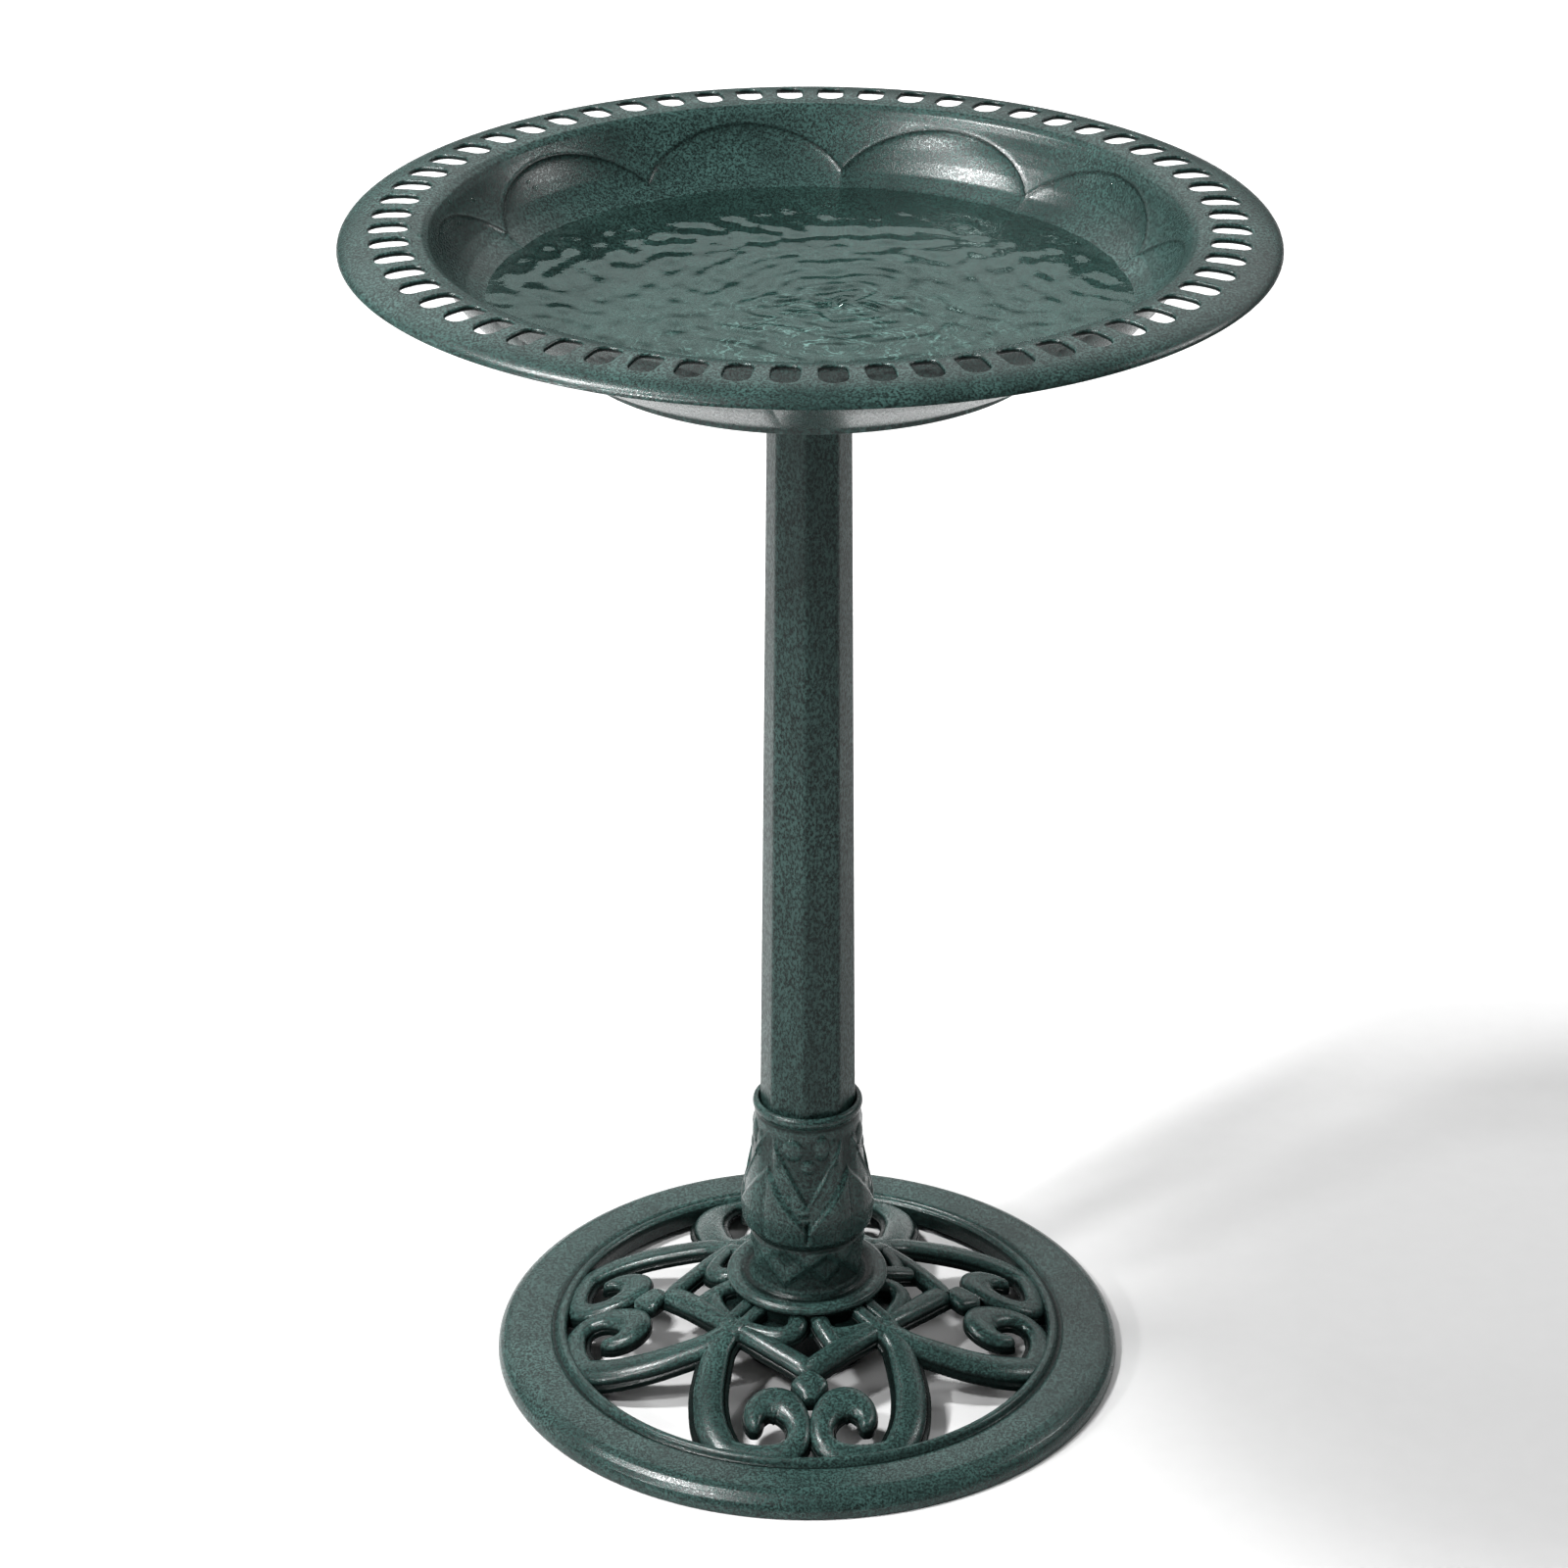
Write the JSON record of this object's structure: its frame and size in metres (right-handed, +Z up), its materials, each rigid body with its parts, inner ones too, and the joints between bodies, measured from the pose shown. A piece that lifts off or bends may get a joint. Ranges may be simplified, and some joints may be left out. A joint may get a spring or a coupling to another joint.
{
  "type": "pedestal bird bath",
  "caption": "Pedestal bird bath: round dished bowl with a slotted rim, slim eight-sided column, leaf collar and a round base of pierced scroll-work.",
  "frame": {"origin": "on the ground, under the column's axis, in the middle of the base", "axes": "+Z up along the column; -Y is the side seen in front, +X to its right"},
  "size_m": [0.51, 0.51, 0.715],
  "materials": {
    "bowl_resin": "dark verdigris green resin, mottled, satin sheen",
    "base_resin": "dark verdigris green resin, mottled, satin sheen",
    "collar_resin": "dark verdigris green resin, mottled, satin sheen",
    "column_resin": "dark verdigris green resin, mottled, satin sheen",
    "head_resin": "dark green resin, plain moulded, satin",
    "socket_resin": "dark green resin, plain moulded, satin",
    "steel": "zinc-plated steel, bright",
    "water": "clear still water; only in the visual model"
  },
  "bodies": {
    "stand": {"base": "base_resin", "collar": "collar_resin", "column": "column_resin", "column_head": "head_resin", "base_screw_1": "steel", "base_screw_2": "steel", "base_screw_3": "steel", "base_screw_4": "steel", "column_screw_1": "steel", "column_screw_2": "steel", "column_screw_3": "steel", "column_screw_4": "steel", "head_screw_1": "steel", "head_screw_2": "steel", "head_screw_3": "steel", "head_screw_4": "steel"},
    "bowl_body": {"bowl": "bowl_resin", "bowl_socket": "socket_resin", "socket_screw_1": "steel", "socket_screw_2": "steel", "socket_screw_3": "steel", "socket_screw_4": "steel"}
  },
  "joints": [
    {"name": "bowl_lift", "type": "slide", "parent": "stand", "child": "bowl_body", "axis": [0, 0, 1], "range_m": [0, 0.08]}
  ]
}
